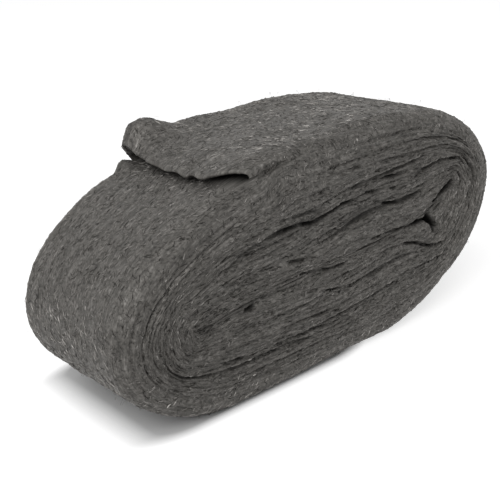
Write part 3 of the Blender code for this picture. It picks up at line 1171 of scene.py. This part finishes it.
def lay_fibres(surface, layer, count, shape, material):
    """Makes the piece of a layer's fibres, each a copy of the one strand bent along its path."""
    sizes = wool_sizes()
    rng = np.random.default_rng(SEED * 100 + layer.seed)
    path, outward, tone_and_painted_shade = fibre_paths(surface, rng, count, layer, sizes.fibre_length)
    radius = layer.thickness * sizes.fibre_radius * rng.lognormal(0, layer.uneven, len(path))
    ring, column, faces = shape
    along = Surface.unit(np.gradient(path, axis=1))
    side = Surface.unit(np.cross(along, outward))
    upward = np.cross(side, along)
    taper = np.sin(math.pi * np.linspace(0, 1, path.shape[1])) ** STRAND_TAPER
    taper[0] = taper[-1] = 0
    turn = column * 2 * math.pi / STRAND_SIDES + math.pi / 2
    reach = radius[:, None] * taper[ring][None, :]
    point = (
        path[:, ring]
        + (reach * np.cos(turn))[..., None] * side[:, ring]
        + (reach * np.sin(turn))[..., None] * upward[:, ring]
    )
    point[..., 2] = np.maximum(point[..., 2], 0.0)
    each = len(ring)
    every_face = [[v + i * each for v in face] for i in range(len(path)) for face in faces]
    mesh = bpy.data.meshes.new(layer.name)
    mesh.from_pydata(point.reshape(-1, 3).tolist(), [], every_face)
    # Each fibre's tone, with painted shade in the openings
    mesh.attributes.new("tone_and_painted_shade", "FLOAT", "POINT").data.foreach_set("value", np.repeat(tone_and_painted_shade, each))
    piece = bpy.data.objects.new(layer.name, mesh)
    bpy.context.scene.collection.objects.link(piece)
    finish_piece(piece, material)


def area_light(name, place, size, power):
    """A soft square lamp at a place, aimed at the roll."""
    deselect_all()
    bpy.ops.object.light_add(type="AREA", location=place)
    lamp = bpy.context.object
    lamp.name = name
    lamp.data.shape = "SQUARE"
    lamp.data.size = size
    lamp.data.energy = power
    lamp.rotation_euler = (TARGET - Vector(place)).to_track_quat("-Z", "Y").to_euler()


def camera_rays(tree):
    """1 for rays that come from the camera or by way of gloss or glass, and 0 for the rest."""
    rays = tree.nodes.new("ShaderNodeLightPath").outputs
    seen = calculate(tree, "MAXIMUM", rays["Is Camera Ray"], rays["Is Glossy Ray"])
    return calculate(tree, "MAXIMUM", seen, rays["Is Transmission Ray"])


def floor_material(colours):
    """A floor white to the camera but for a painted shadow, a patch without glow round the roll's
    shadow.
    """
    material, tree, shader = new_material("floor")
    offset = node(tree, "ShaderNodeTexCoord", {}).outputs["Object"]
    # How far each point of the floor lies outside the painted shadow's rectangle
    for step, value in (
        ("SUBTRACT", PAINTED_SHADOW_MIDDLE),
        ("ABSOLUTE", (0.0, 0.0, 0.0)),
        ("SUBTRACT", PAINTED_SHADOW_HALF),
        ("MAXIMUM", (0.0, 0.0, 0.0)),
        ("MULTIPLY", PAINTED_SHADOW_NARROW),
    ):
        offset = calculate_vector(tree, step, offset, value)
    away = node(tree, "ShaderNodeVectorMath", {0: offset}, operation="LENGTH").outputs["Value"]
    # No glow to the camera inside the painted shadow, rising to full glow past its edge
    glow = map_range(tree, away, PAINTED_SHADOW_EDGE, (0.0, FLOOR_GLOW))
    finish = {
        "Base Color": (*colours.floor, 1.0),
        "Roughness": FLOOR_ROUGHNESS,
        "Specular IOR Level": 0.0,
        "Emission Color": (1.0, 1.0, 1.0, 1.0),
        "Emission Strength": calculate(tree, "MULTIPLY", camera_rays(tree), glow),
    }
    fill(tree, shader, finish)
    return material


def white_world():
    """A world that lights the roll evenly and shows white to the camera."""
    world = bpy.data.worlds.new("white")
    bpy.context.scene.world = world
    world.use_nodes = True
    tree = world.node_tree
    strength = combine(tree, WORLD_STRENGTH, 1.0, camera_rays(tree))
    finish = {"Color": (1.0, 1.0, 1.0, 1.0), "Strength": strength}
    fill(tree, tree.nodes["Background"], finish)


def wool_sizes():
    """The sizes set in the scene."""
    return bpy.context.scene.wool_sizes


def wool_colours():
    """The colours set in the scene."""
    return bpy.context.scene.wool_colours


class WOOL_OT_roll(bpy.types.Operator):
    """Make the wound body of the pad with its loose end"""

    bl_idname = "wool.roll"
    bl_label = "Wound Body"

    def execute(self, context):
        grid = body_grid(wool_sizes())
        rings, columns = grid.shape[:2]
        roll = sphere("wound_roll", columns, rings)
        open_poles(roll, rings)
        ring, column = places_on_sphere(roll.data, columns, rings)
        roll.data.vertices.foreach_set("co", grid[ring - 1, column].ravel())
        weave = roll.data.attributes.new("weave", "FLOAT_VECTOR", "POINT")
        weave.data.foreach_set("vector", weave_grid(grid)[ring - 1, column].ravel())
        # The depth that sets the felt's painted shade
        painted_shade_depth = roll.data.attributes.new("painted_shade_depth", "FLOAT", "POINT")
        painted_shade_depth.data.foreach_set("value", painted_shade_depth_grid(grid)[ring - 1, column])
        roll.data.shade_smooth()
        finish_piece(roll, felt_material(wool_colours()))
        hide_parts(NODE)
        return {"FINISHED"}


class WOOL_OT_fibres(bpy.types.Operator):
    """Lay the loose fibres over the wall and the two faces"""

    bl_idname = "wool.fibres"
    bl_label = "Loose Fibres"

    def execute(self, context):
        sizes = wool_sizes()
        surface = Surface(body_grid(sizes))
        shape = strand_shape()
        material = fibre_material(wool_colours())
        for layer in LAYERS:
            lay_fibres(surface, layer, sizes.fibres, shape, material)
        return {"FINISHED"}


class WOOL_OT_strays(bpy.types.Operator):
    """Add the stray fibres that stand off the roll"""

    bl_idname = "wool.strays"
    bl_label = "Stray Fibres"

    def execute(self, context):
        sizes = wool_sizes()
        surface = Surface(body_grid(sizes))
        material = fibre_material(wool_colours())
        lay_fibres(surface, STRAYS, sizes.strays, strand_shape(), material)
        return {"FINISHED"}


class WOOL_OT_stage(bpy.types.Operator):
    """Set up the floor, the soft lights and the camera"""

    bl_idname = "wool.stage"
    bl_label = "Stage"

    def execute(self, context):
        scene = context.scene
        deselect_all()
        bpy.ops.mesh.primitive_plane_add(size=FLOOR_SIZE, location=(0, 0, 0))
        floor = context.object
        floor.name = "floor"
        floor.data.materials.append(floor_material(wool_colours()))
        white_world()
        for name, place, size, power in LAMPS:
            area_light(name, place, size, power)
        deselect_all()
        bpy.ops.object.camera_add()
        camera = context.object
        camera.name = "photo_view"
        turn = Matrix.Rotation(AZIMUTH, 4, "Z") @ Matrix.Rotation(math.pi / 2 - ELEVATION, 4, "X")
        turn = turn @ Matrix.Rotation(ROLL, 4, "Z")
        back = Vector(
            (
                math.sin(AZIMUTH) * math.cos(ELEVATION),
                -math.cos(AZIMUTH) * math.cos(ELEVATION),
                math.sin(ELEVATION),
            )
        )
        camera.matrix_world = Matrix.Translation(TARGET + DISTANCE * back) @ turn
        camera.data.lens = LENS
        camera.data.shift_x, camera.data.shift_y = SHIFT
        camera.data.clip_start = 0.01
        scene.camera = camera
        scene.view_settings.view_transform = "Standard"
        return {"FINISHED"}


class WOOL_PT_panel(bpy.types.Panel):
    """The pad's sizes, colours and steps"""

    bl_idname = "WOOL_PT_panel"
    bl_label = "Steel Wool Pad"
    bl_space_type = "VIEW_3D"
    bl_region_type = "UI"
    bl_category = "Steel Wool"

    def draw(self, context):
        layout = self.layout
        for name in WoolSizes.__annotations__:
            layout.prop(context.scene.wool_sizes, name)
        for name in WoolColours.__annotations__:
            layout.prop(context.scene.wool_colours, name)
        for step in STEPS:
            layout.operator(step.bl_idname)


STEPS = (WOOL_OT_stage, WOOL_OT_roll, WOOL_OT_fibres, WOOL_OT_strays)
CLASSES = (WoolSizes, WoolColours, *STEPS, WOOL_PT_panel)


def register():
    """Adds the steps, the panel and the pad's sizes and colours to Blender."""
    for cls in CLASSES:
        bpy.utils.register_class(cls)
    bpy.types.Scene.wool_sizes = PointerProperty(type=WoolSizes)
    bpy.types.Scene.wool_colours = PointerProperty(type=WoolColours)


def unregister():
    """Takes away what register added."""
    del bpy.types.Scene.wool_colours
    del bpy.types.Scene.wool_sizes
    for cls in reversed(CLASSES):
        bpy.utils.unregister_class(cls)


def main():
    """Builds the scene step by step."""
    register()
    bpy.ops.wool.stage()
    bpy.ops.wool.roll()
    bpy.ops.wool.fibres()
    bpy.ops.wool.strays()


if __name__ == "__main__":
    main()
